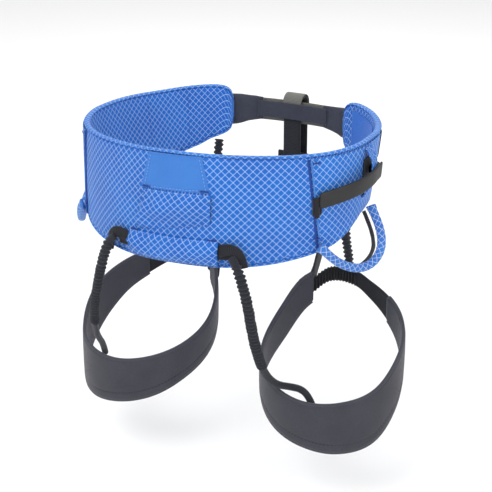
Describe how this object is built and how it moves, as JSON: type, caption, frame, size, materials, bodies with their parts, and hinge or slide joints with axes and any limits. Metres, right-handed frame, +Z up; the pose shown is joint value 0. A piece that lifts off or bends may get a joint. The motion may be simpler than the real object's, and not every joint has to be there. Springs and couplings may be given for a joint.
{
  "type": "climbing harness",
  "caption": "Padded sit harness: waist belt with front closure and tie-in loop, leg loops on elastic risers, gear loops and a peel-open tool strap.",
  "frame": {"origin": "middle of the waist opening", "axes": "+Z up as worn, -Y towards the wearer's back, +X the wearer's right hand"},
  "size_m": [0.362, 0.303, 0.3175],
  "materials": {
    "ripstop": "blue ripstop with a white diagonal grid, satin",
    "edge_binding": "light blue bound edge",
    "foam": "closed-cell foam, hidden",
    "plain_patch": "plain light blue woven patch",
    "blue_thread": "dense zigzag stitching",
    "black_webbing": "black woven webbing, matte",
    "smooth_strap": "black coated strap, semi-matte",
    "dark_padding": "dark grey padded fabric",
    "olive_webbing": "grey-olive woven webbing",
    "buckle_metal": "brushed anodised aluminium",
    "keeper_rubber": "black elastic keeper",
    "charcoal_fabric": "charcoal stretch fabric, matte",
    "black_elastic": "black elastic, gathered",
    "loop_tube": "flexible plastic tube, hidden"
  },
  "bodies": {
    "belt": {"belt_outer_shell": "ripstop", "belt_inner_lining": "ripstop", "upper_back_sleeve": "ripstop", "lower_back_sleeve": "ripstop", "side_panel_left": "ripstop", "side_panel_right": "ripstop", "tool_holder_strip_left": "ripstop", "tool_holder_strip_right": "ripstop", "belt_top_binding": "edge_binding", "belt_bottom_binding": "edge_binding", "belt_foam_core": "foam", "back_label_patch": "plain_patch", "wing_inner_patch_right": "plain_patch", "belt_bar_tacks": "blue_thread", "riser_webbing": "black_webbing", "front_inner_band": "black_webbing", "waist_webbing": "black_webbing", "webbing_tail": "black_webbing", "leg_bridge": "black_webbing", "tool_holder_webbing_right": "black_webbing", "tool_strap_base_right": "black_webbing", "tool_strap_fold_right": "smooth_strap", "front_sleeve_left": "dark_padding", "front_sleeve_right": "dark_padding", "buckle_frame": "buckle_metal", "buckle_bar": "buckle_metal", "front_riser_left": "black_elastic", "front_riser_right": "black_elastic", "rear_riser_left": "black_elastic", "rear_riser_right": "black_elastic", "side_cord_left": "black_elastic", "side_cord_right": "black_elastic"},
    "leg_left": {"leg_band_foam_left": "foam", "leg_band_shell_left": "charcoal_fabric", "leg_band_lining_left": "charcoal_fabric", "leg_side_webbing_left": "black_webbing", "leg_front_elastic_left": "black_elastic", "leg_inner_webbing_left": "black_webbing", "leg_bar_tacks_left": "blue_thread"},
    "gear_loop_left": {"gear_loop_sleeve_left": "ripstop", "gear_loop_core_left": "loop_tube"},
    "leg_right": {"leg_band_foam_right": "foam", "leg_band_shell_right": "charcoal_fabric", "leg_band_lining_right": "charcoal_fabric", "leg_side_webbing_right": "black_webbing", "leg_front_elastic_right": "black_elastic", "leg_inner_webbing_right": "black_webbing", "leg_bar_tacks_right": "blue_thread"},
    "gear_loop_right": {"gear_loop_sleeve_right": "ripstop", "gear_loop_core_right": "loop_tube"},
    "tool_tab_right": {"tool_strap_tab_right": "smooth_strap"},
    "tie_in_loop": {"belay_loop": "black_webbing", "belay_loop_cover": "olive_webbing"},
    "keeper": {"webbing_keeper": "keeper_rubber"}
  },
  "joints": [
    {"name": "leg_swing_left", "type": "hinge", "parent": "belt", "child": "leg_left", "pos_m": [-0.03, 0.15, -0.048], "axis": [1, 0, 0], "range_deg": [-12, 40], "stiffness_Nm_per_rad": 1.5, "springref_deg": -4.58, "deforming": ["rear_riser_left", "front_riser_left", "side_cord_left"]},
    {"name": "leg_swing_right", "type": "hinge", "parent": "belt", "child": "leg_right", "pos_m": [0.03, 0.15, -0.048], "axis": [1, 0, 0], "range_deg": [-12, 40], "stiffness_Nm_per_rad": 1.5, "springref_deg": -4.58, "deforming": ["rear_riser_right", "front_riser_right", "side_cord_right"]},
    {"name": "gear_loop_swing_left", "type": "hinge", "parent": "belt", "child": "gear_loop_left", "pos_m": [-0.14, -0.04825, -0.03175], "axis": [-0.2544, 0.9348, 0.248], "range_deg": [-5, 45], "stiffness_Nm_per_rad": 0.06},
    {"name": "gear_loop_swing_right", "type": "hinge", "parent": "belt", "child": "gear_loop_right", "pos_m": [0.14, -0.04825, -0.03175], "axis": [-0.2544, -0.9348, -0.248], "range_deg": [-5, 45], "stiffness_Nm_per_rad": 0.06},
    {"name": "tie_in_loop_sway", "type": "hinge", "parent": "belt", "child": "tie_in_loop", "pos_m": [0, 0.1456, 0.014], "axis": [1, 0, 0], "range_deg": [-3, 3]},
    {"name": "tool_tab_peel_right", "type": "hinge", "parent": "belt", "child": "tool_tab_right", "pos_m": [0.1578, -0.00691, 0.017], "axis": [0, 0, 1], "range_deg": [0, 100]},
    {"name": "keeper_slide", "type": "slide", "parent": "belt", "child": "keeper", "axis": [-0.5992, 0.8006, 0], "range_m": [0, 0.005]}
  ]
}
